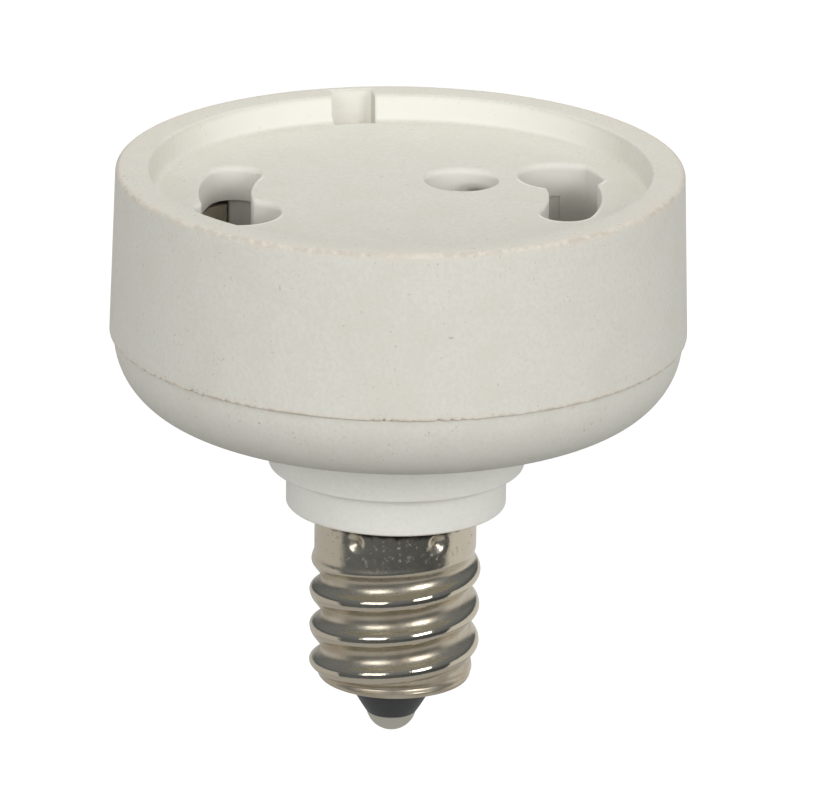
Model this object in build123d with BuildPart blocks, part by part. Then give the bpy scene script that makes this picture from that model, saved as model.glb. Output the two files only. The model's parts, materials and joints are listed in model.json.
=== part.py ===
from build123d import *
from math import cos, radians, sin
import os

# A lamp socket adapter: a small screw base below, a two-pin twist-lock socket above.
# Millimetres. Z runs up the axis, from the shoulder where the metal shell meets the collar.
# X runs through the middle of the two keyholes.

# Heights of the four visible storeys, from the shoulder up
collar_height = 2.87
flange_height = 4.27
bowl_height = 5.31
cap_height = 11.65

# Socket cap, the upper ceramic
cap_rim_d = 39.0
cap_flare = 0.35
cap_wall = 3.25
rim_edge = 0.25
rim_width = 2.25
recess_draft = 0.4
recess_depth = 1.85
recess_corner = 0.3
face_thickness = 2.4
notch_width = 3.0
notch_depth = 1.45
notch_angle = 98.8

# Keyholes for a lamp with two headed pins
pin_spacing = 24.0
entry_d = 6.0
entry_reach = 2.6
slot_width = 3.6
half_twist = 20.7
guard_thickness = 1.2
guard_angle = 69.0
guard_height = 3.0

# Stops behind the locked pins
stop_gap = 0.15
stop_lead = 5.0
stop_thickness = 2.0
stop_span = 75.0

# Assembly screw and its lock washer
screw_out = 5.4
screw_angle = 37.0
screw_d = 2.5
screw_clearance = 0.15
screw_bite = 3.2
screw_bite_clearance = 0.02
screw_tip_gap = 0.2
screw_edge = 0.35
screw_head_clearance = 0.3
screw_head_height = 1.7
screw_slot_width = 0.7
screw_slot_depth = 0.8
screw_post_gap = 0.4
counterbore_d = 5.1
counterbore_depth = 4.0
washer_clearance = 0.25
washer_thickness = 0.6
washer_split = 0.5

# Base bowl, the lower ceramic
bowl_inset = 0.3
bowl_band = 0.21
bowl_floor = 2.4
lip_height = 1.6
lip_wall = 1.5
lip_clearance = 0.15

# Neck, the white plastic core that carries the shell
flange_d = 17.66
flange_edge = 0.2
collar_d = 15.2
collar_edge = 0.2
spigot_d = 5.6
spigot_sink = 0.2
spigot_clearance = 0.1
core_clearance = 0.08
core_end_gap = 0.25

# Threaded shell
shell_d = 11.2
shell_height = 12.75
shell_end_inset = 0.45
shell_end_taper = 0.8
shell_wall = 0.295
shell_lip_thickness = 0.3
thread_pitch = 2.54
thread_depth = 0.65
thread_top = 3.3
thread_runout = 1.2
thread_crest_drop = 4.95
sections_per_turn = 6

# Tip insulator and centre contact
tip_hole_d = 6.9
tip_clearance = 0.05
insulator_disc = 1.0
insulator_drop = 2.75
insulator_end_d = 3.5
contact_d = 3.3
contact_edge = 0.05
contact_height = 1.15
contact_shank_d = 1.9
contact_collar_d = 2.8
contact_collar = 0.25
contact_web = 1.0

# Contact springs
spring_thickness = 0.4
spring_height = 4.4
spring_face_gap = 0.4
spring_grip = 4.1
spring_wrap = 54.0
strip_end = 8.0
foot_angle = 48.0
foot_lap = 13.0
foot_margin = 7.0
foot_width = 3.8
foot_post_gap = 0.05
tail_lead = 38.0
tail_width = 2.4

# Lead wires in their sleeves
wire_d = 0.8
wire_fit = 0.05
wire_stub = 0.6
sleeve_d = 1.6
sleeve_fit = 0.1
sleeve_strip = 1.0
neutral_bare = 8.0

# Levels up the axis
flange_z = collar_height
bowl_z = flange_z + flange_height
joint_z = bowl_z + bowl_height
rim_z = joint_z + cap_height
face_z = rim_z - recess_depth
ceiling_z = face_z - face_thickness
bowl_inside_z = bowl_z + bowl_floor
spring_top_z = ceiling_z - spring_face_gap
foot_z = spring_top_z - spring_height
foot_top_z = foot_z + spring_thickness
head_seat_z = face_z - counterbore_depth
head_z = head_seat_z + washer_thickness
shell_end_z = -shell_height
disc_z = shell_end_z + shell_lip_thickness
disc_top_z = disc_z + insulator_disc
contact_top_z = disc_top_z + contact_collar
insulator_end_z = shell_end_z - insulator_drop
contact_bore_z = insulator_end_z + contact_web
core_end_z = contact_top_z + core_end_gap

# Diameters that follow from the rim
cap_skirt_d = cap_rim_d + 2 * cap_flare
cap_cavity_d = cap_skirt_d - 2 * cap_wall
recess_mouth_d = cap_rim_d - 2 * rim_width
recess_floor_d = recess_mouth_d - 2 * recess_draft
bowl_d = cap_skirt_d - 2 * bowl_inset

# Sizes that follow from the piece beside them
bowl_corner = bowl_height - bowl_band
shell_end_d = shell_d - 2 * shell_end_inset
shell_bore_d = shell_d - thread_depth - 2 * shell_wall
screw_head_d = counterbore_d - 2 * screw_head_clearance
washer_d = counterbore_d - 2 * washer_clearance
screw_post_d = 2 * (screw_out - screw_post_gap) - tail_width
foot_post_d = foot_width - 2 * (spring_thickness + foot_post_gap)
tail_angle = screw_angle + tail_lead

# Radii and places that several pieces share
pin_r = pin_spacing / 2
lip_r = cap_cavity_d / 2 - lip_clearance
bowl_cavity_r = lip_r - lip_wall
screw_hole_r = screw_d / 2 + screw_clearance
wire_hole_r = wire_d / 2 + wire_fit
sleeve_hole_r = sleeve_d / 2 + sleeve_fit
spring_r = pin_r + spring_grip / 2 + spring_thickness / 2
foot_r = spring_r + spring_thickness / 2 - foot_width / 2
foot_start = strip_end - foot_lap
foot_span = tail_angle + foot_margin - foot_start
neutral_out = shell_bore_d / 2 - wire_hole_r
neutral_spot = (-neutral_out, 0)
live_spot = (0, 0)


def polar(radius, angle):
    """Point at a radius and an angle in degrees round the axis."""
    return (radius * cos(radians(angle)), radius * sin(radians(angle)))


def smooth(t):
    """Ease from 0 to 1 with level ends."""
    t = min(max(t, 0.0), 1.0)
    return t * t * (3 - 2 * t)


screw_spot = polar(screw_out, screw_angle)
foot_spots = [polar(foot_r, turn + foot_angle) for turn in (0, 180)]
os.makedirs("parts", exist_ok=True)

# Socket cap: a turned body, recessed on top and hollow below
with BuildPart() as socket_cap:
    with BuildSketch(Plane.XZ):
        with BuildLine():
            Polyline(
                (0, face_z),
                (recess_floor_d / 2, face_z),
                (recess_mouth_d / 2, rim_z),
                (cap_rim_d / 2, rim_z),
                (cap_skirt_d / 2, joint_z),
                (cap_cavity_d / 2, joint_z),
                (cap_cavity_d / 2, ceiling_z),
                (0, ceiling_z),
                close=True,
            )
        make_face()
    revolve(axis=Axis.Z)
    circles = socket_cap.edges().filter_by(GeomType.CIRCLE)
    rim_circles = circles.filter_by_position(Axis.Z, rim_z, rim_z)
    chamfer(rim_circles.sort_by(SortBy.RADIUS)[-1], rim_edge)
    circles = socket_cap.edges().filter_by(GeomType.CIRCLE)
    chamfer(circles.filter_by_position(Axis.Z, face_z, face_z), recess_corner)
    # Notch in the inner side of the rim
    notch_plane = Plane(origin=(0, 0, face_z), x_dir=(*polar(1, notch_angle), 0), z_dir=(0, 0, 1))
    notch_end = recess_mouth_d / 2 + notch_depth
    with BuildSketch(notch_plane):
        with Locations((notch_end / 2, 0)):
            Rectangle(notch_end, notch_width)
    extrude(amount=recess_depth, mode=Mode.SUBTRACT)
    # Posts below the face: one round the screw, one over each contact foot
    with BuildSketch(Plane.XY.offset(ceiling_z)):
        with Locations(screw_spot):
            Circle(screw_post_d / 2)
    extrude(amount=bowl_inside_z - ceiling_z)
    with BuildSketch(Plane.XY.offset(ceiling_z)):
        with Locations(*foot_spots):
            Circle(foot_post_d / 2)
    extrude(amount=foot_top_z - ceiling_z)
    # Stops behind the locked pins, curved round them
    stop_r = spring_grip / 2 + stop_gap + stop_thickness / 2
    for turn in (0, 180):
        pin_angle = turn - half_twist
        with BuildSketch(Plane.XY.offset(ceiling_z)):
            with BuildLine():
                CenterArc(polar(pin_r, pin_angle), stop_r, pin_angle - spring_wrap - stop_lead, -stop_span)
            trace(line_width=stop_thickness)
        extrude(amount=foot_top_z - ceiling_z)
    # Guards below the face: the outer back quarter of each entry's wall, carried down
    for turn in (0, 180):
        entry_angle = turn + half_twist
        entry_spot = polar(pin_r, entry_angle)
        with BuildSketch(Plane.XY.offset(ceiling_z)):
            with BuildLine():
                CenterArc(entry_spot, entry_d / 2 + guard_thickness / 2, entry_angle, guard_angle)
            trace(line_width=guard_thickness)
        extrude(amount=-guard_height)
        with BuildSketch(Plane.XY.offset(ceiling_z)):
            with Locations(entry_spot):
                Circle(entry_d / 2)
            Circle(pin_r + entry_reach, mode=Mode.SUBTRACT)
        extrude(amount=-guard_height)
    # Keyholes through the face: round entry with a plain outer wall, then a curved slot
    with BuildSketch(Plane.XY.offset(face_z)):
        with Locations(polar(pin_r, half_twist), polar(pin_r, 180 + half_twist)):
            Circle(entry_d / 2)
        Circle(pin_r + entry_reach, mode=Mode.INTERSECT)
        for turn in (0, 180):
            slot_path = CenterArc((0, 0), pin_r, turn - half_twist, 2 * half_twist, mode=Mode.PRIVATE)
            SlotArc(slot_path, slot_width)
    extrude(amount=-face_thickness, mode=Mode.SUBTRACT)
    with Locations((*screw_spot, face_z)):
        CounterBoreHole(screw_hole_r, counterbore_d / 2, counterbore_depth)
socket_cap.part.label = "socket_cap"
export_step(socket_cap.part, "parts/socket_cap.step")

# Base bowl: rounded below, a locating lip above, posts under the contact feet
corner_start = (bowl_d / 2 - bowl_corner, bowl_z)
corner_end = (bowl_d / 2, bowl_z + bowl_corner)
with BuildPart() as base_bowl:
    with BuildSketch(Plane.XZ):
        with BuildLine():
            Line((0, bowl_z), corner_start)
            RadiusArc(corner_start, corner_end, -bowl_corner)
            Polyline(
                corner_end,
                (bowl_d / 2, joint_z),
                (lip_r, joint_z),
                (lip_r, joint_z + lip_height),
                (bowl_cavity_r, joint_z + lip_height),
                (bowl_cavity_r, bowl_inside_z),
                (0, bowl_inside_z),
                (0, bowl_z),
            )
        make_face()
    revolve(axis=Axis.Z)
    with BuildSketch(Plane.XY.offset(bowl_inside_z)):
        with Locations(*foot_spots):
            Circle(foot_post_d / 2)
    extrude(amount=foot_z - bowl_inside_z)
    # Openings for the neck's spigot, the screw and the neutral lead
    with Locations((0, 0, bowl_inside_z)):
        Hole(spigot_d / 2 + spigot_clearance, bowl_floor)
    with Locations((*screw_spot, bowl_inside_z)):
        Hole(screw_hole_r, bowl_floor)
    with Locations((*neutral_spot, bowl_inside_z)):
        Hole(sleeve_hole_r, bowl_floor)
base_bowl.part.label = "base_bowl"
export_step(base_bowl.part, "parts/base_bowl.step")

# Neck: stepped collar outside, spigot up into the bowl, core down inside the shell
core_r = shell_bore_d / 2 - core_clearance
spigot_top_z = bowl_inside_z - spigot_sink
with BuildPart() as base_neck:
    with BuildSketch(Plane.XZ):
        with BuildLine():
            Polyline(
                (sleeve_hole_r, spigot_top_z),
                (sleeve_hole_r, core_end_z),
                (core_r, core_end_z),
                (core_r, 0),
                (collar_d / 2, 0),
                (collar_d / 2, flange_z),
                (flange_d / 2, flange_z),
                (flange_d / 2, bowl_z),
                (spigot_d / 2, bowl_z),
                (spigot_d / 2, spigot_top_z),
                close=True,
            )
        make_face()
    revolve(axis=Axis.Z)
    circles = base_neck.edges().filter_by(GeomType.CIRCLE)
    chamfer(circles.filter_by_position(Axis.Z, 0, 0).sort_by(SortBy.RADIUS)[-1], collar_edge)
    circles = base_neck.edges().filter_by(GeomType.CIRCLE)
    chamfer(circles.filter_by_position(Axis.Z, flange_z, flange_z).sort_by(SortBy.RADIUS)[-1], flange_edge)
    with Locations((*screw_spot, bowl_z)):
        Hole(screw_d / 2 + screw_bite_clearance, screw_bite)
    # Neutral lead: a hole for its sleeve, then an open groove where the bare wire meets the shell
    with Locations((*neutral_spot, bowl_z)):
        Hole(sleeve_hole_r, bowl_z - sleeve_strip)
    with Locations((*neutral_spot, sleeve_strip)):
        Hole(wire_hole_r, sleeve_strip + neutral_bare)
base_neck.part.label = "base_neck"
export_step(base_neck.part, "parts/base_neck.step")

# Threaded shell: circles whose centres spiral round the axis make one rolled thread
threaded_height = shell_height - thread_top
section_count = round(sections_per_turn * threaded_height / thread_pitch)
with BuildPart() as screw_shell:
    for k in range(section_count + 1):
        drop = thread_top + threaded_height * k / section_count
        fade_in = smooth((drop - thread_top) / thread_runout)
        fade_out = smooth((shell_height - drop) / thread_runout)
        narrowing = smooth((drop - shell_height + shell_end_taper) / shell_end_taper)
        crest_angle = 360 * (thread_crest_drop - drop) / thread_pitch
        with BuildSketch(Plane.XY.offset(-drop)):
            with Locations(polar(thread_depth / 2 * fade_in * fade_out, crest_angle)):
                Circle(shell_d / 2 - (shell_d - shell_end_d) / 2 * narrowing)
    loft(ruled=True)
    with BuildSketch(Plane.XY):
        Circle(shell_d / 2)
    extrude(amount=-thread_top)
    with BuildSketch(Plane.XY):
        Circle(shell_bore_d / 2)
    extrude(amount=disc_z, mode=Mode.SUBTRACT)
    with BuildSketch(Plane.XY.offset(disc_z)):
        Circle(tip_hole_d / 2)
    extrude(amount=-shell_lip_thickness, mode=Mode.SUBTRACT)
screw_shell.part.label = "screw_shell"
export_step(screw_shell.part, "parts/screw_shell.step")

# Tip insulator: a disc inside the shell and a cone below it
insulator_hole_r = contact_shank_d / 2 + tip_clearance
with BuildPart() as tip_insulator:
    with BuildSketch(Plane.XZ):
        with BuildLine():
            Polyline(
                (insulator_hole_r, disc_top_z),
                (shell_bore_d / 2 - tip_clearance, disc_top_z),
                (shell_bore_d / 2 - tip_clearance, disc_z),
                (tip_hole_d / 2 - tip_clearance, disc_z),
                (tip_hole_d / 2 - tip_clearance, shell_end_z),
                (insulator_end_d / 2, insulator_end_z),
                (insulator_hole_r, insulator_end_z),
                close=True,
            )
        make_face()
    revolve(axis=Axis.Z)
tip_insulator.part.label = "tip_insulator"
export_step(tip_insulator.part, "parts/tip_insulator.step")

# Centre contact: a domed rivet, hollow in the shank for the live wire
contact_end_z = insulator_end_z - contact_height
dome_start = (contact_d / 2, insulator_end_z - contact_edge)
with BuildPart() as centre_contact:
    with BuildSketch(Plane.XZ):
        with BuildLine():
            TangentArc((0, contact_end_z), dome_start, tangent=(1, 0))
            Polyline(
                dome_start,
                (contact_d / 2, insulator_end_z),
                (contact_shank_d / 2, insulator_end_z),
                (contact_shank_d / 2, disc_top_z),
                (contact_collar_d / 2, disc_top_z),
                (contact_collar_d / 2, contact_top_z),
                (wire_hole_r, contact_top_z),
                (wire_hole_r, contact_bore_z),
                (0, contact_bore_z),
                (0, contact_end_z),
            )
        make_face()
    revolve(axis=Axis.Z)
centre_contact.part.label = "centre_contact"
export_step(centre_contact.part, "parts/centre_contact.step")

# Contact springs: a tall strip round the outside of each keyhole, wrapped at the locked pin,
# on a foot held between the two ceramics, with a tail that reaches its lead
for side, turn, eye in (("right", 0, neutral_spot), ("left", 180, live_spot)):
    pin_angle = turn - half_twist
    with BuildPart() as contact_spring:
        with BuildSketch(Plane.XY.offset(foot_z)):
            with BuildLine():
                CenterArc((0, 0), spring_r, pin_angle, half_twist + strip_end)
                CenterArc(polar(pin_r, pin_angle), spring_r - pin_r, pin_angle, -spring_wrap)
            trace(line_width=spring_thickness)
        extrude(amount=spring_height)
        with BuildSketch(Plane.XY.offset(foot_z)):
            with BuildLine():
                CenterArc((0, 0), foot_r, turn + foot_start, foot_span)
            trace(line_width=foot_width)
            with BuildLine():
                Line(polar(foot_r, turn + tail_angle), eye)
            trace(line_width=tail_width)
            with Locations(eye):
                Circle(tail_width / 2)
        extrude(amount=spring_thickness)
        with Locations((*eye, foot_top_z)):
            Hole(wire_hole_r, spring_thickness)
    contact_spring.part.label = f"contact_spring_{side}"
    export_step(contact_spring.part, f"parts/contact_spring_{side}.step")

# Lead wires, straight down from the springs' tails: the live one to the tip, the neutral one to the shell
wire_top_z = foot_top_z + wire_stub
sleeve_top_z = foot_z - sleeve_strip
lead_runs = (
    ("live", live_spot, contact_bore_z + wire_fit, contact_top_z + sleeve_strip),
    ("neutral", neutral_spot, wire_fit - neutral_bare, sleeve_strip),
)
for lead, spot, wire_end_z, sleeve_end_z in lead_runs:
    with BuildPart() as lead_wire:
        with BuildSketch(Plane.XY.offset(wire_end_z)):
            with Locations(spot):
                Circle(wire_d / 2)
        extrude(amount=wire_top_z - wire_end_z)
    lead_wire.part.label = f"{lead}_wire"
    export_step(lead_wire.part, f"parts/{lead}_wire.step")

    with BuildPart() as lead_sleeve:
        with BuildSketch(Plane.XY.offset(sleeve_end_z)):
            with Locations(spot):
                Circle(sleeve_d / 2)
                Circle(wire_hole_r, mode=Mode.SUBTRACT)
        extrude(amount=sleeve_top_z - sleeve_end_z)
    lead_sleeve.part.label = f"{lead}_sleeve"
    export_step(lead_sleeve.part, f"parts/{lead}_sleeve.step")

# Assembly screw: slotted cheese head in the counterbore, shank down into the neck
screw_end_z = bowl_z - screw_bite + screw_tip_gap
with BuildPart() as assembly_screw:
    with BuildSketch(Plane.XY.offset(head_z)):
        with Locations(screw_spot):
            Circle(screw_head_d / 2)
    extrude(amount=screw_head_height)
    with BuildSketch(Plane.XY.offset(head_z)):
        with Locations(screw_spot):
            Circle(screw_d / 2)
    extrude(amount=screw_end_z - head_z)
    chamfer(assembly_screw.faces().sort_by(Axis.Z)[-1].edges(), screw_edge)
    chamfer(assembly_screw.faces().sort_by(Axis.Z)[0].edges(), screw_edge)
    with BuildSketch(Plane.XY.offset(head_z + screw_head_height)):
        with Locations(screw_spot):
            Rectangle(screw_head_d, screw_slot_width)
    extrude(amount=-screw_slot_depth, mode=Mode.SUBTRACT)
assembly_screw.part.label = "assembly_screw"
export_step(assembly_screw.part, "parts/assembly_screw.step")

# Split lock washer under the head
with BuildPart() as lock_washer:
    with BuildSketch(Plane.XY.offset(head_seat_z)):
        with Locations(screw_spot):
            Circle(washer_d / 2)
            Circle(screw_hole_r, mode=Mode.SUBTRACT)
            with Locations((washer_d / 2, 0)):
                Rectangle(washer_d, washer_split, mode=Mode.SUBTRACT)
    extrude(amount=washer_thickness)
lock_washer.part.label = "lock_washer"
export_step(lock_washer.part, "parts/lock_washer.step")
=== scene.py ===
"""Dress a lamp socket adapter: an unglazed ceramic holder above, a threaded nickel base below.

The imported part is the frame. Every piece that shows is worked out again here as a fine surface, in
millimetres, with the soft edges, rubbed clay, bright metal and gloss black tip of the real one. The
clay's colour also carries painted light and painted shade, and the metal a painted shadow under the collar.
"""

from __future__ import annotations

import json
import logging
from collections.abc import Sequence
from dataclasses import dataclass, field
from enum import Enum
from math import asin, cos, pi, radians, sin, tau

import bmesh
import bpy
import numpy as np
from mathutils import Matrix, Vector
from mathutils.geometry import delaunay_2d_cdt

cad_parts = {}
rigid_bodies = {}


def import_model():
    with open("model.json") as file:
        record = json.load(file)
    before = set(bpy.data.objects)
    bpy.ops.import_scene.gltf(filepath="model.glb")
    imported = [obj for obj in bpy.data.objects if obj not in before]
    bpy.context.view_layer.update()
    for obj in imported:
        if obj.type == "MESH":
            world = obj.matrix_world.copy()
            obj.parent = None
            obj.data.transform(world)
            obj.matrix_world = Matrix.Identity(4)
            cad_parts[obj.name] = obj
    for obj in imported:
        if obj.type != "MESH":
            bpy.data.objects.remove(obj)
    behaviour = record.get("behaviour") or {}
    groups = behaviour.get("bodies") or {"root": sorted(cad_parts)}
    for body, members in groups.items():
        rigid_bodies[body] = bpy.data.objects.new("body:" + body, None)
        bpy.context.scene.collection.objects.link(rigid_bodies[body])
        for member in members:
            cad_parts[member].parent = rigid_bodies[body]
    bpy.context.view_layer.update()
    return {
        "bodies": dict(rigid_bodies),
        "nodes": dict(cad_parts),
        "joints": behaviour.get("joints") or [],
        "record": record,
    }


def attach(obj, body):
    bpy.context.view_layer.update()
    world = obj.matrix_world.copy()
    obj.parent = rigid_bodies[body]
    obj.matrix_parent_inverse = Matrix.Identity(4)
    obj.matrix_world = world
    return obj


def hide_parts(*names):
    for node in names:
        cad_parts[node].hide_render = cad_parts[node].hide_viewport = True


LOG = logging.getLogger("socket_adapter")
MM = 0.001
WHITE = (1.0, 1.0, 1.0, 1.0)

Colour = tuple[float, float, float]
Socket = bpy.types.NodeSocket

# Meshes: points closer than the weld become one, runs shorter than the sliver go, keener edges stay sharp
WELD = 1.5e-3 * MM
SLIVER = 1e-4 * MM
SHARP_ANGLE = 38.0

# Levels up the axis, in millimetres from the shoulder under the collar
FLANGE_Z = 2.87
BOWL_Z = 7.14
BOWL_INSIDE_Z = 9.54
JOINT_Z = 12.45
FOOT_Z = 15.05
FOOT_TOP_Z = 15.45
SEAT_Z = 18.25
CEILING_Z = 19.85
FACE_Z = 22.25
RIM_Z = 24.10
SHELL_END_Z = -12.75
INSULATOR_END_Z = -15.28
CONTACT_END_Z = -16.65

# Wear below 0 paints light and shade into the clay: unstained clay painted lighter as painted light, then
# painted shade, then deeper painted shade
CLEAN_AND_LIT = -1.0
IN_SHADE = -2.0
DEEP_SHADE = -3.0

# Angles of the two keyholes' middles round the axis, in degrees
TURNS = (0.0, 180.0)

# Posts for the contacts' feet, under the cap and in the bowl: distance out, angle and radius
FOOT_OUT = 12.55
FOOT_ANGLE = 48.0
FOOT_POST_R = 1.45

# Thickness of the shell's turned-in end, on which the tip's disc rests
SHELL_WALL = 0.3

# A row this near the end of a straight wall keeps the edge there crisp
EDGE_ROW = 0.04

# Lip of a hole: how far out from it the flat rows lie, the rows of its rounding, and both together
LIP_FLATS = (0.2, 0.16)
LIP_STEPS = 8
LIP_ROWS = len(LIP_FLATS) + LIP_STEPS


def polar(radius: float, degrees: float) -> np.ndarray:
    """Return the plan point at a radius and an angle round the axis."""
    return radius * np.array([cos(radians(degrees)), sin(radians(degrees))])


def polar_line(radius: np.ndarray | float, angles: np.ndarray) -> np.ndarray:
    """Return the plan points at radii and angles in radians, one or many of each."""
    return np.stack([radius * np.cos(angles), radius * np.sin(angles)], -1)


def lifted(flat: np.ndarray, height: np.ndarray | float) -> np.ndarray:
    """Return plan points as points in space, at one height or at a height each."""
    return np.concatenate([flat, np.broadcast_to(height, flat.shape[:-1])[..., None]], -1)


def smooth(t: np.ndarray) -> np.ndarray:
    """Ease from 0 to 1 with level ends: three t squared less two t cubed."""
    t = np.clip(t, 0.0, 1.0)
    return t * t * (3.0 - 2.0 * t)


def between(levels: tuple[np.ndarray | float, np.ndarray | float], share: np.ndarray) -> np.ndarray:
    """Return the value at a share of the way from one level to another, one or many of each."""
    return levels[0] + (levels[1] - levels[0]) * share


def bell(line: np.ndarray, centre: tuple[float, float], width: float) -> np.ndarray:
    """Return a bell curve of each point's distance from a centre, 1 at the centre itself."""
    return np.exp(-((np.hypot(line[:, 0] - centre[0], line[:, 1] - centre[1]) / width) ** 2))


def rounded(corners: Sequence[Sequence[float]], radii: Sequence[float], steps: int = 8) -> np.ndarray:
    """Round the inner corners of an open line.

    A corner gives way to the arc that touches both its sides. The arc's centre is on the corner's
    bisector, its radius divided by the sine of half the corner's angle away.

    Args:
        corners: Points of the line.
        radii: One radius for each inner corner, 0 for a sharp one.
        steps: Runs in each arc.

    Returns:
        Points of the rounded line.
    """
    line = np.asarray(corners, float)
    out = [line[:1]]
    for before, here, after, radius in zip(line[:-2], line[1:-1], line[2:], radii):
        if radius <= 0:
            out.append(here[None])
            continue
        u = (before - here) / np.linalg.norm(before - here)
        w = (after - here) / np.linalg.norm(after - here)
        half = np.arccos(np.clip(u @ w, -1.0, 1.0)) / 2
        centre = here + (u + w) / np.linalg.norm(u + w) * radius / np.sin(half)
        first = here + u * radius / np.tan(half) - centre
        last = here + w * radius / np.tan(half) - centre
        start = np.arctan2(first[1], first[0])
        turn = (np.arctan2(last[1], last[0]) - start + pi) % tau - pi
        angle = start + turn * np.linspace(0.0, 1.0, steps + 1)
        out.append(centre + polar_line(radius, angle))
    out.append(line[-1:])
    return np.concatenate(out)


def divided(line: np.ndarray, step: float) -> np.ndarray:
    """Split the long runs of a line into equal parts and keep all its own points.

    Args:
        line: Points of the line.
        step: Longest run allowed.

    Returns:
        Points of the finer line.
    """
    runs = np.linalg.norm(np.diff(line, axis=0), axis=1)
    parts = np.maximum(np.ceil(runs / step).astype(int), 1)
    place = np.concatenate([i + np.arange(n) / n for i, n in enumerate(parts)] + [[len(line) - 1.0]])
    index = np.arange(len(line))
    return np.stack([np.interp(place, index, line[:, k]) for k in range(line.shape[1])], 1)


def softened(loop: np.ndarray, sigma: float, count: int) -> np.ndarray:
    """Round every corner of a closed plan line and space its points evenly.

    The line is laid out by its length and each coordinate is blurred by a bell curve round the loop,
    as a product of its Fourier terms with the bell's own.

    Args:
        loop: Points of the closed line, the first not repeated.
        sigma: Width of the bell, in millimetres.
        count: Points wanted.

    Returns:
        Points of the softened line, anticlockwise.
    """
    fine = 4096
    closed = np.concatenate([loop, loop[:1]])
    length = np.concatenate([[0.0], np.cumsum(np.linalg.norm(np.diff(closed, axis=0), axis=1))])
    even = np.linspace(0.0, length[-1], fine, endpoint=False)
    wave = np.interp(even, length, closed[:, 0]) + 1j * np.interp(even, length, closed[:, 1])
    pitch = np.fft.fftfreq(fine, length[-1] / fine)
    wave = np.fft.ifft(np.fft.fft(wave) * np.exp(-2.0 * (pi * sigma * pitch) ** 2))
    pick = wave[(np.arange(count) * fine) // count]
    if np.sum(pick.real * np.roll(pick.imag, -1) - pick.imag * np.roll(pick.real, -1)) < 0:
        pick = pick[::-1]
    return np.stack([pick.real, pick.imag], 1)


def outward(loop: np.ndarray) -> np.ndarray:
    """Work out the outward unit normals of a closed loop, each square to the chord of its neighbours.

    Args:
        loop: Anticlockwise plan points.

    Returns:
        One normal for each point.
    """
    along = np.roll(loop, -1, axis=0) - np.roll(loop, 1, axis=0)
    along /= np.linalg.norm(along, axis=1, keepdims=True)
    return np.stack([along[:, 1], -along[:, 0]], 1)


def holds(loop: np.ndarray, spots: np.ndarray) -> np.ndarray:
    """Tell which spots are inside a closed plan loop, by how often a level ray from each crosses it.

    Args:
        loop: Points of the closed line.
        spots: Points to test.

    Returns:
        True for each spot inside.
    """
    x, y = spots[:, :1], spots[:, 1:]
    start, end = loop, np.roll(loop, -1, axis=0)
    crosses = (start[:, 1] > y) != (end[:, 1] > y)
    rise = np.where(end[:, 1] == start[:, 1], 1.0, end[:, 1] - start[:, 1])
    met = start[:, 0] + (y - start[:, 1]) / rise * (end[:, 0] - start[:, 0])
    return np.sum(crosses & (met > x), axis=1) % 2 == 1


def turned(profile: np.ndarray, angles: np.ndarray) -> np.ndarray:
    """Carry a profile of radius and height round the axis.

    Args:
        profile: Rows of radius and height.
        angles: Angles round the axis, in radians.

    Returns:
        Grid of points, one row for each profile point.
    """
    return lifted(polar_line(profile[:, :1], angles), profile[:, 1:])


def carried(loop: np.ndarray, profile: np.ndarray) -> np.ndarray:
    """Carry a profile along a closed plan loop.

    Each point of the loop moves along its outward normal by the profile's offset, to the profile's height.

    Args:
        loop: Anticlockwise plan points.
        profile: Rows of offset and height.

    Returns:
        Grid of points, one row for each profile point.
    """
    return lifted(loop + outward(loop) * profile[:, :1, None], profile[:, 1:])


def ring(count: int) -> np.ndarray:
    """Return evenly spaced angles round the axis, in radians."""
    return np.linspace(0.0, tau, count, endpoint=False)


def round_hole(centre: np.ndarray, radius: float, count: int) -> np.ndarray:
    """Return the plan points of a circle."""
    return centre + polar_line(radius, ring(count))


def foot_post(turn: float) -> np.ndarray:
    """Return the plan outline of the post for a contact's foot, turned with its keyhole in degrees."""
    return round_hole(polar(FOOT_OUT, turn + FOOT_ANGLE), FOOT_POST_R, 48)


def straight(start: float, end: float, count: int) -> np.ndarray:
    """Return the section of a straight wall: rows of no offset and a height, the last at the end."""
    height = np.append(np.linspace(start, end + EDGE_ROW, count), end)
    return np.stack([np.zeros(len(height)), height], 1)


def ripple(angles: np.ndarray, lowest: int, highest: int, seed: int) -> np.ndarray:
    """Return an uneven closed line of about unit size.

    It is a sum of sines that fit whole times round the axis, each with its own chance phase.

    Args:
        angles: Angles round the axis, in radians.
        lowest: Fewest waves round the axis.
        highest: Most waves round the axis.
        seed: Start of the chance numbers.

    Returns:
        One value for each angle.
    """
    counts = np.arange(lowest, highest)
    phase = np.random.default_rng(seed).uniform(0.0, tau, len(counts))
    return np.sin(np.outer(angles, counts) + phase).sum(1) * np.sqrt(2.0 / len(counts))


def edge_rows(loop: np.ndarray, radius: np.ndarray, level: float) -> np.ndarray:
    """Round the lip of a hole by a quarter circle of its own radius at each point.

    The flat rows come first, a little out from the lip, and keep its wear off the rest of the face.

    Args:
        loop: Anticlockwise plan points of the hole.
        radius: Radius of the lip at each point.
        level: Level of the face.

    Returns:
        Grid of points, the first row on the face.
    """
    turn = np.linspace(0.0, pi / 2, LIP_STEPS)[:, None]
    flats = np.array(LIP_FLATS)[:, None]
    out = np.concatenate([radius + flats, radius * (1.0 - np.sin(turn))])
    down = np.concatenate([np.zeros((len(flats), len(loop))), radius * (1.0 - np.cos(turn))])
    return lifted(loop + outward(loop) * out[..., None], level - down)


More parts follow.
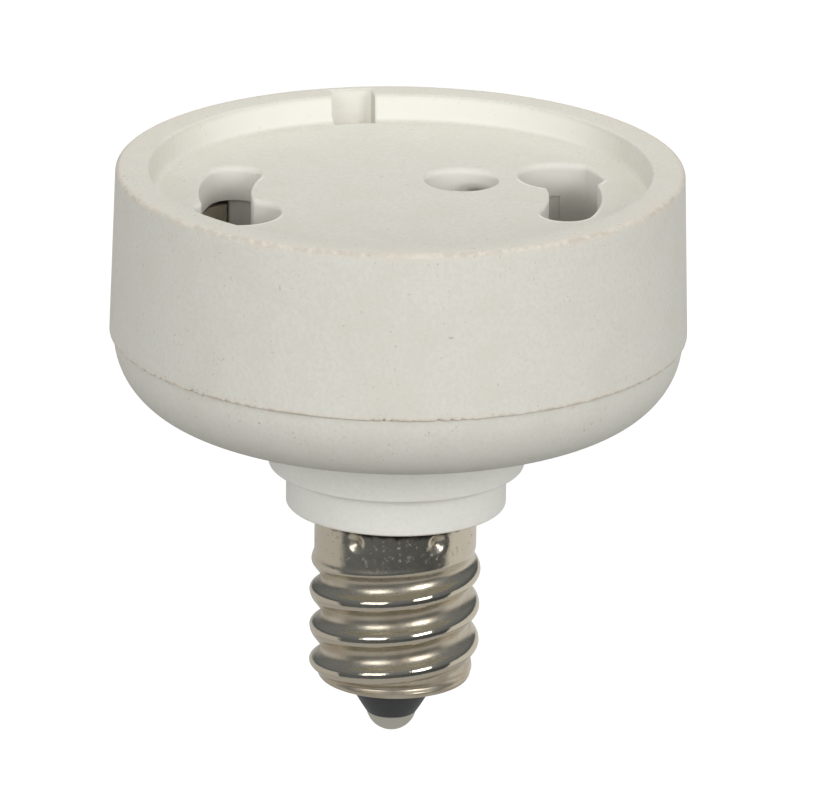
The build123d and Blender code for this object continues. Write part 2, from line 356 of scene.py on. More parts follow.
@dataclass
class Draft:
    """Patches of one piece, gathered in millimetres and closed into a mesh at the end."""

    points: list[np.ndarray] = field(default_factory=list)
    faces: list[list[int]] = field(default_factory=list)
    wear: list[np.ndarray] = field(default_factory=list)
    size: int = 0

    def add(self, points: np.ndarray, faces: np.ndarray, wear: np.ndarray) -> None:
        """Append a patch.

        Args:
            points: Its points.
            faces: Its faces, counted from its own first point.
            wear: Wear of each point.
        """
        self.points.append(points)
        self.faces += (faces + self.size).tolist()
        self.wear.append(wear)
        self.size += len(points)

    def grid(self, patch: np.ndarray, wear: np.ndarray | float = 0.0) -> None:
        """Add a grid of points whose columns close on themselves.

        Args:
            patch: Points by row and column.
            wear: Wear of each point or each row, or one value.
        """
        rows, columns = patch.shape[:2]
        row, here = np.arange(rows - 1)[:, None] * columns, np.arange(columns)[None]
        there = (here + 1) % columns
        quads = np.stack([row + here, row + there, row + columns + there, row + columns + here], -1)
        level = np.asarray(wear, float)
        level = np.broadcast_to(level if level.ndim == 2 else level.reshape(-1, 1), (rows, columns))
        self.add(patch.reshape(-1, 3), quads.reshape(-1, 4), level.ravel())

    def fill(self, loops: Sequence[np.ndarray], height: float, wear: float = 0.0) -> None:
        """Fill a level face between its outer loop and the loops of its holes.

        Args:
            loops: Closed plan lines, none touching another.
            height: Level of the face.
            wear: Wear along the loops.
        """
        flat = np.concatenate(loops)
        starts = np.cumsum([0] + [len(loop) for loop in loops[:-1]])
        edges = [
            np.stack([start + np.arange(len(loop)), start + (np.arange(len(loop)) + 1) % len(loop)], 1)
            for start, loop in zip(starts, loops)
        ]
        found = delaunay_2d_cdt([Vector(p) for p in flat], np.concatenate(edges).tolist(), [], 1, 1e-6)
        plan, faces = np.array([tuple(p) for p in found[0]]), np.array(found[2])
        inside = sum(holds(loop, plan[faces].mean(1)).astype(int) for loop in loops)
        self.add(lifted(plan, height), faces[inside == 1], np.full(len(plan), wear))

    def piece(self, name: str, finish: bpy.types.Material, slot: str, *nodes: str) -> bpy.types.Object:
        """Close the patches into one smooth object that stands for CAD nodes.

        Args:
            name: Name of the object.
            finish: Its material.
            slot: Record slot that the finish belongs to; not used.
            nodes: CAD nodes that it replaces.

        Returns:
            The finished object.
        """
        mesh = bpy.data.meshes.new(name)
        mesh.from_pydata((np.concatenate(self.points) * MM).tolist(), [], self.faces)
        mesh.attributes.new("wear", "FLOAT", "POINT").data.foreach_set("value", np.concatenate(self.wear))
        closed = bmesh.new()
        closed.from_mesh(mesh)
        bmesh.ops.remove_doubles(closed, verts=closed.verts, dist=WELD)
        bmesh.ops.dissolve_degenerate(closed, edges=closed.edges, dist=SLIVER)
        bmesh.ops.recalc_face_normals(closed, faces=closed.faces)
        closed.to_mesh(mesh)
        closed.free()
        return placed(mesh, name, finish, slot, *nodes)


def placed(
    mesh: bpy.types.Mesh, name: str, finish: bpy.types.Material, slot: str, *nodes: str
) -> bpy.types.Object:
    """Put a finished mesh on the part's body in place of its CAD nodes.

    Args:
        mesh: Mesh with its place in its points.
        name: Name of the object.
        finish: Its material.
        slot: Record slot that the finish belongs to; not used.
        nodes: CAD nodes that it replaces.

    Returns:
        The object.
    """
    mesh.polygons.foreach_set("use_smooth", np.ones(len(mesh.polygons), bool))
    mesh.set_sharp_from_angle(angle=radians(SHARP_ANGLE))
    mesh.materials.clear()
    mesh.materials.append(finish)
    item = bpy.data.objects.new(name, mesh)
    bpy.context.scene.collection.objects.link(item)
    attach(item, "root")
    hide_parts(*nodes)
    LOG.info("%s: %d faces", name, len(mesh.polygons))
    return item


class Board:
    """A material's nodes, added and wired in short calls."""

    def __init__(self, tree: bpy.types.NodeTree) -> None:
        """Start from an empty tree."""
        self.tree = tree
        tree.nodes.clear()

    def plug(self, socket: Socket, value: object) -> None:
        """Link an output to a socket, or set the socket to a constant.

        Args:
            socket: Input of a node.
            value: Output or constant.
        """
        if isinstance(value, Socket):
            self.tree.links.new(value, socket)
        else:
            socket.default_value = value

    def add(self, kind: str, settings: dict | None = None, **sockets: object) -> bpy.types.Node:
        """Add a node.

        Args:
            kind: Blender's type name without its ShaderNode prefix.
            settings: Properties of the node.
            sockets: Input names, with underscores for spaces, or in_ and a number, to a value or an output.

        Returns:
            The new node.
        """
        node = self.tree.nodes.new("ShaderNode" + kind)
        for key, value in (settings or {}).items():
            setattr(node, key, value)
        for key, value in sockets.items():
            name = int(key[3:]) if key.startswith("in_") else key.replace("_", " ")
            self.plug(node.inputs[name], value)
        return node

    def maths(self, operation: str, *values: object) -> Socket:
        """Return the output of a maths node on up to three values or outputs."""
        sockets = {f"in_{k}": value for k, value in enumerate(values)}
        return self.add("Math", {"operation": operation}, **sockets).outputs[0]

    def ramp(self, value: object, low: float, high: float) -> Socket:
        """Return a smooth step of a value from 0 at low to 1 at high."""
        sockets = {"Value": value, "From_Min": low, "From_Max": high}
        return self.add("MapRange", {"interpolation_type": "SMOOTHSTEP"}, **sockets).outputs[0]

    def mix(self, share: object, first: object, second: object) -> Socket:
        """Return a blend of two colours by a share."""
        return self.add("Mix", {"data_type": "RGBA"}, in_0=share, in_6=first, in_7=second).outputs[2]

    def noise(self, scale: float, detail: float = 2.0) -> Socket:
        """Return a noise on the piece's own coordinates, its scale counted per metre."""
        place = self.add("TexCoord").outputs["Object"]
        return self.add("TexNoise", Vector=place, Scale=scale, Detail=detail).outputs[0]

    def attribute(self, name: str) -> Socket:
        """Return the piece's own value at each point."""
        return self.add("Attribute", {"attribute_name": name}).outputs["Fac"]

    def seen(self) -> Socket:
        """Tell what is looked at from what only lights dull surfaces.

        Returns:
            1 for rays from the camera, a gloss or a clear body, and 0 for all others.
        """
        rays = self.add("LightPath").outputs
        seen = self.maths("MAXIMUM", rays["Is Camera Ray"], rays["Is Glossy Ray"])
        return self.maths("MAXIMUM", seen, rays["Is Transmission Ray"])

    def surface(self, relief: Socket, strength: float, height: float, **shading: object) -> None:
        """End a material with a shader over a bumpy surface.

        Args:
            relief: The bumps, from 0 to 1.
            strength: How much of them shows.
            height: Their height in millimetres.
            shading: The shader's other inputs.
        """
        bump = self.add("Bump", Strength=strength, Distance=height * MM, Height=relief)
        shader = self.add("BsdfPrincipled", Normal=bump.outputs[0], **shading)
        self.add("OutputMaterial", Surface=shader.outputs[0])


def blank(name: str) -> tuple[bpy.types.Material, Board]:
    """Start a material.

    Args:
        name: Its name.

    Returns:
        The material, and the board of its empty node tree.
    """
    made = bpy.data.materials.new(name)
    made.use_nodes = True
    return made, Board(made.node_tree)


@dataclass(frozen=True)
class Pattern:
    """Patches on a surface: a noise, its scale counted per metre, stepped between two of its values."""

    scale: float
    detail: float
    low: float
    high: float

    def on(self, board: Board) -> Socket:
        """Return the patches, 1 inside them and 0 outside."""
        return board.ramp(board.noise(self.scale, self.detail), self.low, self.high)


def linear(red: float, green: float, blue: float) -> tuple[float, float, float, float]:
    """Turn a display colour into linear light: a power curve with a short straight foot.

    Args:
        red: Red, from 0 to 255.
        green: Green, from 0 to 255.
        blue: Blue, from 0 to 255.

    Returns:
        The same colour as linear light from 0 to 1, and an opacity of 1.
    """
    shown = np.array([red, green, blue]) / 255.0
    light = np.where(shown <= 0.04045, shown / 12.92, ((shown + 0.055) / 1.055) ** 2.4)
    return (*light.tolist(), 1.0)


class Clay(Enum):
    """How rough a ceramic surface is left."""

    UNGLAZED = 0.62
    SMOOTH = 0.42


@dataclass(frozen=True)
class CeramicFinish:
    """White clay body with fine specks, faint stains and rubbed tan edges, and tones for painted light and
    shade.
    """

    name: str = "ceramic"
    body: Colour = (219, 218, 209)
    shade: Colour = (214, 211, 199)
    pale: Colour = (222, 221, 213)
    # Painted light: unstained clay painted lighter, on walls that face the lamps and on the holes' lips
    clean_lit_clay: Colour = (234, 232, 224)
    # Painted shade down the holes
    painted_shade: Colour = (206, 203, 195)
    tan: Colour = (225, 214, 200)
    # Deeper painted shade in the screw hole
    deep_shade_tone: Colour = (140, 134, 126)
    # Dark joint line
    grime_and_shade: Colour = (176, 163, 144)
    speck: Colour = (176, 163, 143)
    clay: Clay = Clay.UNGLAZED
    specks: float = 1.0
    body_share: float = 0.3
    stain_share: float = 0.5
    speck_share: float = 0.7
    tan_share: float = 0.65
    grime_share: float = 0.6
    shine: float = 0.3
    bump: float = 0.22
    bump_height: float = 0.06
    mottle: Pattern = Pattern(3400.0, 4.0, 0.25, 0.75)
    stains: Pattern = Pattern(330.0, 8.0, 0.42, 0.72)
    spots: Pattern = Pattern(4300.0, 1.0, 0.69, 0.77)
    spot_fields: Pattern = Pattern(500.0, 2.0, 0.40, 0.64)
    dirt: Pattern = Pattern(1900.0, 6.0, 0.36, 0.60)
    dirt_fields: Pattern = Pattern(190.0, 3.0, 0.26, 0.56)

    def clay_colour(self, board: Board, wear: Socket) -> Socket:
        """Mottle and stain the clay, and give its painted light, painted shade and deeper painted shade
        their own tones.

        Args:
            board: The material's board.
            wear: The piece's wear.

        Returns:
            The colour without specks.
        """
        colour = board.mix(self.mottle.on(board), linear(*self.shade), linear(*self.pale))
        colour = board.mix(self.body_share, colour, linear(*self.body))
        stain = board.maths("MULTIPLY", self.stains.on(board), self.stain_share)
        colour = board.mix(stain, colour, linear(*self.shade))
        # Below 0 the wear brings in painted light, then painted shade, then deeper painted shade
        tones = ((0.0, CLEAN_AND_LIT, self.clean_lit_clay), (CLEAN_AND_LIT, IN_SHADE, self.painted_shade), (IN_SHADE, DEEP_SHADE, self.deep_shade_tone))
        for start, end, tone in tones:
            colour = board.mix(board.ramp(wear, start, end), colour, linear(*tone))
        return colour

    def speck_places(self, board: Board, wear: Socket) -> Socket:
        """Scatter the specks: in loose fields, along rubbed edges, and fewer where light or shade is
        painted.

        Args:
            board: The material's board.
            wear: The piece's wear.

        Returns:
            How much of a speck shows.
        """
        spots = board.maths("MULTIPLY", self.spots.on(board), self.speck_share * self.specks)
        fields = board.maths("MAXIMUM", self.spot_fields.on(board), board.ramp(wear, 0.1, 0.5))
        kept = board.add("MapRange", Value=wear, From_Min=-0.8, From_Max=0.0, To_Min=0.35, To_Max=1.0)
        return board.maths("MULTIPLY", spots, board.maths("MULTIPLY", fields, kept.outputs[0]))

    def material(self) -> bpy.types.Material:
        """Build the material.

        Returns:
            A material that reads the piece's wear attribute.
        """
        made, board = blank(self.name)
        wear = board.attribute("wear")
        colour = self.clay_colour(board, wear)
        colour = board.mix(self.speck_places(board, wear), colour, linear(*self.speck))
        wander = board.maths("MULTIPLY_ADD", board.noise(620.0, 8.0), 1.8, -1.0)
        rubbed = board.maths("ADD", wear, wander)
        tanned = board.maths("MULTIPLY", board.ramp(rubbed, 0.2, 1.3), self.tan_share)
        colour = board.mix(tanned, colour, linear(*self.tan))
        joint = board.maths("MULTIPLY", board.ramp(wear, 0.7, 1.2), self.dirt.on(board))
        joint = board.maths("MULTIPLY", joint, self.dirt_fields.on(board))
        joint = board.maths("MULTIPLY", joint, self.grime_share)
        colour = board.mix(joint, colour, linear(*self.grime_and_shade))
        pitted = board.maths("MULTIPLY", board.ramp(rubbed, 0.6, 1.2), 0.5)
        pits = board.maths("MULTIPLY_ADD", pitted, board.noise(3000.0, 3.0), board.noise(5200.0, 3.0))
        shading = {"Base_Color": colour, "Roughness": self.clay.value, "Specular_IOR_Level": self.shine}
        board.surface(pits, self.bump, self.bump_height, **shading)
        return made


@dataclass(frozen=True)
class PlainFinish:
    """An even finish with a light grain: plastic, wire or sleeve."""

    name: str
    colour: Colour
    roughness: float
    metallic: float = 0.0
    grain: float = 0.05
    grain_scale: float = 3000.0
    grain_height: float = 0.04

    def material(self) -> bpy.types.Material:
        """Build the material.

        Returns:
            A material with one colour and a grain in its surface.
        """
        made, board = blank(self.name)
        grain, colour = board.noise(self.grain_scale), linear(*self.colour)
        shading = {"Base_Color": colour, "Roughness": self.roughness, "Metallic": self.metallic}
        board.surface(grain, self.grain, self.grain_height, **shading)
        return made


@dataclass(frozen=True)
class NickelFinish:
    """Bright nickel over brass: warm, polished on the crests and duller in the roots, with a painted shadow
    under the collar.
    """

    name: str = "nickel"
    colour: Colour = (222, 212, 191)
    stain: Colour = (186, 164, 138)
    # Painted shadow under the collar
    collar_shadow: Colour = (86, 71, 52)
    crest_roughness: float = 0.08
    root_roughness: float = 0.34
    unevenness: float = 0.16
    haze: Pattern = Pattern(3000.0, 6.0, 0.56, 0.74)
    haze_roughness: float = 0.4
    haze_z: tuple[float, float] = (-3.6, -2.6)
    stain_share: float = 0.5
    collar_shadow_z: tuple[float, float] = (-0.75, -0.35)
    collar_shadow_wander: float = 0.6
    bump: float = 0.26
    bump_height: float = 0.05

    def gloss(self, board: Board, wear: Socket, height: Socket) -> Socket:
        """Work out the roughness: smooth crests, duller roots, uneven all over, hazy spots on the band.

        Args:
            board: The material's board.
            wear: The shell's wear, 1 on its crests.
            height: Level up the axis, in metres.

        Returns:
            The roughness.
        """
        gloss = board.add("MapRange", Value=wear, To_Min=self.root_roughness, To_Max=self.crest_roughness)
        gloss = board.maths("MULTIPLY_ADD", board.noise(1500.0, 5.0), self.unevenness, gloss.outputs[0])
        gloss = board.maths("SUBTRACT", gloss, self.unevenness / 2)
        band = board.ramp(height, self.haze_z[0] * MM, self.haze_z[1] * MM)
        haze = board.maths("MULTIPLY", self.haze.on(board), band)
        return board.maths("MULTIPLY_ADD", haze, self.haze_roughness, gloss)

    def material(self) -> bpy.types.Material:
        """Build the material.

        Returns:
            A metal whose roughness follows the piece's wear attribute.
        """
        made, board = blank(self.name)
        wear = board.attribute("wear")
        place = board.add("TexCoord").outputs["Object"]
        height = board.add("SeparateXYZ", Vector=place).outputs["Z"]
        dirt = board.ramp(board.maths("SUBTRACT", board.noise(700.0, 4.0), wear), 0.30, 0.70)
        dirt = board.maths("MULTIPLY", dirt, self.stain_share)
        colour = board.mix(dirt, linear(*self.colour), linear(*self.stain))
        # Painted shadow: an uneven dark band at the top of the shell, under the collar
        level = board.maths("MULTIPLY_ADD", board.noise(1900.0, 5.0), self.collar_shadow_wander * MM, height)
        collar_shadow = board.ramp(level, self.collar_shadow_z[0] * MM, self.collar_shadow_z[1] * MM)
        colour = board.mix(collar_shadow, colour, linear(*self.collar_shadow))
        relief = board.maths("MULTIPLY_ADD", board.noise(5200.0, 5.0), 0.5, board.noise(700.0, 3.0))
        shading = {"Base_Color": colour, "Roughness": self.gloss(board, wear, height), "Metallic": 1.0}
        board.surface(relief, self.bump, self.bump_height, **shading)
        return made


@dataclass
class SocketCap:
    """Upper ceramic: tapered wall, rim with a notch, recessed face with keyholes and a screw hole."""

    rim_r: float = 19.5
    skirt_r: float = 19.85
    cavity_r: float = 16.6
    mouth_r: float = 17.25
    floor_draft: float = 0.4
    rim_edge: float = 0.36
    mouth_edge: float = 0.22
    floor_fillet: float = 0.5
    skirt_edge: float = 0.08
    chips: float = 0.042
    rim_chips: float = 0.06
    column: float = 0.16
    column_share: float = 0.03
    notch_angle: float = 99.4
    notch_half: float = 1.5
    notch_depth: float = 1.45
    notch_corners: tuple[float, float] = (0.24, 0.35)
    notch_draft: float = 0.25
    notch_pit: float = 0.9
    pin_r: float = 12.0
    entry_r: float = 3.0
    entry_reach: float = 2.6
    slot_r: float = 1.8
    half_twist: float = 20.7
    hole_edge: float = 0.1
    back_edge: float = 0.42
    guard_thickness: float = 1.2
    guard_angle: float = 69.0
    guard_height: float = 3.0
    guard_end: float = 97.0
    guard_step: float = 0.12
    guard_sunk: float = 0.6
    guard_start: float = -20.0
    guard_proud: float = 0.004
    lip_drop: float = 0.6
    shade_depth: float = 3.0
    screw_out: float = 5.4
    screw_angle: float = 37.0
    counterbore_r: float = 2.55
    screw_hole_r: float = 1.4
    screw_post_r: float = 3.8
    stop_inner: float = 2.2
    stop_outer: float = 4.2
    stop_start: float = 59.0
    stop_span: float = 75.0

    def rim_path(self) -> np.ndarray:
        """Lay out the recess's inner line with its notch.

        The line runs once round as length along the mouth and distance out from it. The notch is a
        box whose sides lean in by the ratio of the radii, so that they come out parallel.

        Returns:
            Rows of length along and distance out, one full turn.
        """
        half, near, deep = pi * self.mouth_r, self.notch_half, self.notch_depth
        far = near * self.mouth_r / (self.mouth_r + deep)
        corners = [(-half, 0), (-near, 0), (-far, deep), (far, deep), (near, 0), (half, 0)]
        mouth, back = self.notch_corners
        return divided(rounded(corners, (mouth, back, back, mouth)), self.column)[:-1]

    def in_notch(self, path: np.ndarray) -> np.ndarray:
        """Return which points of the recess's line lie in its notch."""
        return path[:, 1] > 0.1

    def bearing(self, path: np.ndarray) -> np.ndarray:
        """Return the angle round the axis of each point of the recess's line, in radians."""
        return radians(self.notch_angle) + path[:, 0] / self.mouth_r

    def recess_line(self, path: np.ndarray, offset: float) -> np.ndarray:
        """Move the recess's line by an offset.

        An offset above 0 goes straight in towards the axis, and less far in the notch. Any other goes
        out along the line's own normals.

        Args:
            path: The line, as rim_path lays it out.
            offset: How far to move it in.

        Returns:
            Plan points.
        """
        if offset > 0:
            in_line = min(offset, self.floor_draft) * self.notch_draft
            step = np.where(self.in_notch(path), in_line, offset)
            moved = path - np.stack([np.zeros(len(path)), step], 1)
        else:
            half = pi * self.mouth_r
            along = np.roll(path, -1, axis=0) - np.roll(path, 1, axis=0)
            along[:, 0] = (along[:, 0] + half) % (2 * half) - half
            along /= np.linalg.norm(along, axis=1, keepdims=True)
            moved = path + np.stack([along[:, 1], -along[:, 0]], 1) * offset
        return polar_line(self.mouth_r + moved[:, 1], self.bearing(moved))

    def outer_rows(self, path: np.ndarray) -> tuple[np.ndarray, np.ndarray]:
        """Carry the outside round: cavity, foot of the wall, wall and rim.

        Each row is a circle, and ripples make its two edges a little uneven. The columns keep to the
        recess's, bunched less at the notch.

        Args:
            path: The recess's line.

        Returns:
            Grid of points, and the wear of each.
        """
        share = np.diff(path[:, 0], append=-path[0, 0]) + self.column_share
        angles = radians(self.notch_angle) - pi + tau * (np.cumsum(share) - share) / share.sum()
        section = rounded(
            [
                (self.cavity_r, CEILING_Z),
                (self.cavity_r, JOINT_Z),
                (self.skirt_r, JOINT_Z),
                (self.rim_r, RIM_Z),
                (self.rim_r - 2 * self.rim_edge, RIM_Z),
            ],
            (0.0, self.skirt_edge, self.rim_edge),
        )[:-1]
        section = divided(section, 0.5)
        crown = bell(section, (self.rim_r - 0.1, RIM_Z - 0.1), 0.55)
        foot = bell(section, (self.skirt_r, JOINT_Z), 0.25)
        patches = np.clip(0.55 + 0.45 * ripple(angles, 3, 14, 8), 0.1, 1.6)
        at_foot = patches * foot[:, None] * ripple(angles, 30, 420, 3)
        at_rim = self.rim_chips * crown[:, None] * ripple(angles, 9, 200, 5)
        chipped = self.chips * (at_foot + at_rim)
        rows = turned(section, angles)
        rows[..., 2] = np.minimum(rows[..., 2] + chipped, RIM_Z)
        rows[..., :2] *= 1.0 - np.abs(chipped[..., None]) / self.skirt_r
        return rows, np.maximum(crown, 1.25 * foot)[:, None].repeat(len(path), 1)

    def recess_rows(self, path: np.ndarray) -> tuple[np.ndarray, np.ndarray]:
        """Carry the recess's wall round, from the rim down to the face.

        In the notch the wall goes on below the face into a shallow pit. The back of the wall, which faces
        the front lamps, is painted lighter, and so is the notch's pit; one side wall of the notch takes
        painted shade instead.

        Args:
            path: The recess's line.

        Returns:
            Grid of points, and the wear of each.
        """
        section = rounded(
            [(-3 * self.mouth_edge, RIM_Z), (0.0, RIM_Z), (self.floor_draft, FACE_Z), (3.0, FACE_Z)],
            (self.mouth_edge, self.floor_fillet),
        )[1:-1]
        section = divided(section, 0.25)
        cut, pit_z = self.in_notch(path), FACE_Z - self.notch_pit
        rows = [lifted(self.recess_line(path, offset), height) for offset, height in section]
        wall = rows[-1]
        mouth = polar_line(self.mouth_r - section[-1, 0], self.bearing(path))
        for plan, height in ((wall[:, :2], pit_z), (mouth, pit_z), (mouth, FACE_Z)):
            rows.append(np.where(cut[:, None], lifted(plan, height), wall))
        # Painted light: below the rim the back of the wall, facing the front lamps, is painted lighter, in
        # the notch all the way down
        facing = smooth((np.sin(self.bearing(path)) - 0.2) / 0.75)
        lip = 0.5 * bell(section, (-0.05, RIM_Z), 0.25)[:, None]
        below_rim = smooth((RIM_Z - section[:, 1:]) / 0.2)
        above_face = smooth((section[:, 1:] - FACE_Z) / 0.3)
        wear_and_light = lip + CLEAN_AND_LIT * below_rim * np.where(cut, 1.0, above_face) * facing
        pit = np.where(cut, CLEAN_AND_LIT, wear_and_light[-1])
        wear_and_light = np.concatenate([wear_and_light, [pit, pit, np.zeros(len(path))]])
        # Painted shade: one side wall of the notch takes painted shade in place of painted light
        shaded = cut & (path[:, 0] < 0) & (path[:, 1] < self.notch_depth - 0.2)
        return np.stack(rows), np.where(shaded & (wear_and_light < CLEAN_AND_LIT / 2), IN_SHADE, wear_and_light)

    def rim_grid(self) -> tuple[np.ndarray, np.ndarray]:
        """Carry the whole cross-section round, the outside first and then the recess.

        Returns:
            Grid of points, and the wear of each.
        """
        path = self.rim_path()
        outer, outer_wear = self.outer_rows(path)
        inner, inner_wear = self.recess_rows(path)
        return np.concatenate([outer, inner]), np.concatenate([outer_wear, inner_wear])

    def keyhole(self, turn: float) -> np.ndarray:
        """Outline one keyhole.

        Seen from the axis, both its walls are distances at each angle: the entry's circle, cut short on
        its outer side, the slot's two arcs and its round end. The farthest and nearest of them make the
        outline, and the corners between them are softened.

        Args:
            turn: Angle of the keyhole's middle, in degrees.

        Returns:
            Anticlockwise plan points.
        """
        twist = radians(self.half_twist)
        low, high = -twist - asin(self.slot_r / self.pin_r), twist + asin(self.entry_r / self.pin_r)
        phase = np.linspace(0.0, tau, 4000, endpoint=False)
        angle = (low + high) / 2 + (high - low) / 2 * np.cos(phase)
        side = np.where(phase < pi, 1.0, -1.0)
        nowhere = -side * 1e6

        def circle(centre: float, radius: float) -> np.ndarray:
            """Return the far or near side of a circle on the pin circle, where the sight line meets it."""
            room = radius**2 - (self.pin_r * np.sin(angle - centre)) ** 2
            met = self.pin_r * np.cos(angle - centre) + side * np.sqrt(np.maximum(room, 0.0))
            return np.where(room >= -1e-9, met, nowhere)

        entry = circle(twist, self.entry_r)
        entry = np.where(side > 0, np.minimum(entry, self.pin_r + self.entry_reach), entry)
        slot = np.where(np.abs(angle) <= twist, self.pin_r + side * self.slot_r, nowhere)
        walls = np.stack([entry, slot, circle(-twist, self.slot_r)]) * side
        radius = np.max(walls, axis=0) * side
        return softened(polar_line(radius, angle + radians(turn)), 0.14, 240)

    def stop(self, turn: float) -> np.ndarray:
        """Outline the curved stop behind one locked pin: the space between two arcs, its corners softened.

        Args:
            turn: Angle of the keyhole's middle, in degrees.

        Returns:
            Anticlockwise plan points.
        """
        pin_angle = turn - self.half_twist
        sweep = np.radians(np.linspace(0.0, -self.stop_span, 200) + pin_angle - self.stop_start)
        arc = polar_line(1.0, sweep)
        loop = np.concatenate([self.stop_outer * arc, self.stop_inner * arc[::-1]])
        return softened(polar(self.pin_r, pin_angle) + loop, 0.12, 120)

    def guard(self, turn: float) -> np.ndarray:
        """Outline the wall that carries an entry's outer back quarter down below the face.

        Round the entry's centre its inner side keeps to the entry, whose circle is cut short on the
        outside, then steps back a little, and its outer side is a larger arc that starts straight outwards.

        Args:
            turn: Angle of the keyhole's middle, in degrees.

        Returns:
            Anticlockwise plan points.
        """
        angle = np.radians(np.linspace(self.guard_start, self.guard_end, 240))
        reach = self.pin_r + self.entry_reach
        cut = np.sqrt(reach**2 - (self.pin_r * np.sin(angle)) ** 2) - self.pin_r * np.cos(angle)
        stepped = self.guard_step * (angle > radians(self.guard_angle))
        inner = np.minimum(cut, self.entry_r) - self.guard_proud + stepped
        outer = self.entry_r + self.guard_thickness * (angle >= 0)
        radius = np.concatenate([outer, inner[::-1]])
        angle = np.concatenate([angle, angle[::-1]]) + radians(turn + self.half_twist)
        return softened(polar(self.pin_r, turn + self.half_twist) + polar_line(radius, angle), 0.03, 240)

    def lip(self, outline: np.ndarray) -> np.ndarray:
        """Return the radius of a hole's lip at each point: keen in front, softer at the back."""
        return between((self.hole_edge, self.back_edge), smooth(outward(outline)[:, 1] / 0.7))

    def hang(self, draft: Draft, loop: np.ndarray, end: float, sunk: float) -> np.ndarray:
        """Add the sides and the lower end of a piece that hangs below the face.

        Args:
            draft: The cap's patches.
            loop: Its plan outline.
            end: Level of its lower end.
            sunk: How far it goes up into the face, drawn in a little there, or 0 to start at the ceiling.

        Returns:
            Plan outline of its upper end, left open.
        """
        drawn_in = [(-0.05, CEILING_Z + sunk), (-0.05, CEILING_Z + 0.04), (0.0, CEILING_Z + 0.02)]
        head = drawn_in if sunk else [(0.0, CEILING_Z)]
        patch = carried(loop, np.concatenate([head, straight(CEILING_Z - EDGE_ROW, end, 8)]))
        # Painted shade: its sides darken with depth and its lower end is in painted shade
        draft.grid(patch, self.painted_shade(patch[:, 0, 2]))
        draft.fill([loop], end, IN_SHADE)
        return patch[0, :, :2]

    def painted_shade(self, height: np.ndarray) -> np.ndarray:
        """Return the painted shade of the holes' walls: painted lighter at the face, darker with depth."""
        return between((CLEAN_AND_LIT, IN_SHADE), smooth((FACE_Z - 0.4 - height) / self.shade_depth))

    def lip_light(self) -> np.ndarray:
        """Return the painted light of a lip's rows as a column: none on the face, painted lighter inside."""
        return CLEAN_AND_LIT * smooth(np.linspace(-0.4, 1.0, LIP_ROWS))[:, None]

    def keyhole_rows(self, turn: float) -> tuple[np.ndarray, np.ndarray]:
        """Carry a keyhole's lip and wall down through the face.

        Args:
            turn: Angle of the keyhole's middle, in degrees.

        Returns:
            Grid of points, and the wear of each.
        """
        outline = self.keyhole(turn)
        side = straight(FACE_Z - self.lip_drop, CEILING_Z, 8)
        # Painted highlight along the lip's front: painted lighter from its first rounded row down
        front = np.append(0.0, np.ones(LIP_ROWS - 1))[:, None] * smooth(-outward(outline)[:, 1] / 0.5)
        wear_and_light = between((self.lip_light(), CLEAN_AND_LIT), front)
        # Painted shade down the keyhole's wall, darker with depth
        painted_shade = self.painted_shade(side[:, 1:]).repeat(len(outline), 1)
        rows = [edge_rows(outline, self.lip(outline), FACE_Z), carried(outline, side)]
        return np.concatenate(rows), np.concatenate([wear_and_light, painted_shade])

    def well_rows(self) -> tuple[np.ndarray, np.ndarray]:
        """Carry the screw hole's lip and steps down through its post, and the post's outside back up.

        Returns:
            Grid of points, and the wear of each.
        """
        hole = round_hole(polar(self.screw_out, self.screw_angle), self.counterbore_r, 120)
        shank, post = self.screw_hole_r - self.counterbore_r, self.screw_post_r - self.counterbore_r
        steps = [(shank, SEAT_Z), (shank, BOWL_INSIDE_Z), (post, BOWL_INSIDE_Z), (post, CEILING_Z)]
        side = np.concatenate([straight(FACE_Z - self.lip_drop, SEAT_Z, 16), steps])
        # Painted shade: the screw hole's wall darkens with depth, most on its right side, below a lip
        # painted lighter
        grime_and_shade = smooth((FACE_Z - 0.75 - side[:, 1:]) / 0.8) * smooth((outward(hole)[:, 0] + 0.4) / 0.9)
        wear_and_light = np.broadcast_to(self.lip_light(), (LIP_ROWS, len(hole)))
        rows = [edge_rows(hole, self.lip(hole), FACE_Z), carried(hole, side)]
        return np.concatenate(rows), np.concatenate([wear_and_light, between((CLEAN_AND_LIT, DEEP_SHADE), grime_and_shade)])

    def build(self, finish: bpy.types.Material) -> bpy.types.Object:
        """Make the cap.

        Args:
            finish: Its ceramic.

        Returns:
            The finished cap.
        """
        draft = Draft()
        rows, wear = self.rim_grid()
        draft.grid(rows, wear)
        floor, ceiling = [rows[-1, :, :2]], [rows[0, :, :2]]
        for turn in TURNS:
            wall, wear = self.keyhole_rows(turn)
            draft.grid(wall, wear)
            floor.append(wall[0, :, :2])
            ceiling.append(wall[-1, :, :2])
            for loop in (self.stop(turn), foot_post(turn)):
                ceiling.append(self.hang(draft, loop, FOOT_TOP_Z, 0.0))
            top = self.hang(draft, self.guard(turn), CEILING_Z - self.guard_height, self.guard_sunk)
            # The guard's sunk top takes the painted-light level
            draft.fill([top], CEILING_Z + self.guard_sunk, CLEAN_AND_LIT)
        well, wear = self.well_rows()
        draft.grid(well, wear)
        floor.append(well[0, :, :2])
        ceiling.append(well[-1, :, :2])
        draft.fill(floor, FACE_Z)
        draft.fill(ceiling, CEILING_Z)
        return draft.piece("socket_cap_body", finish, "ceramic", "socket_cap")


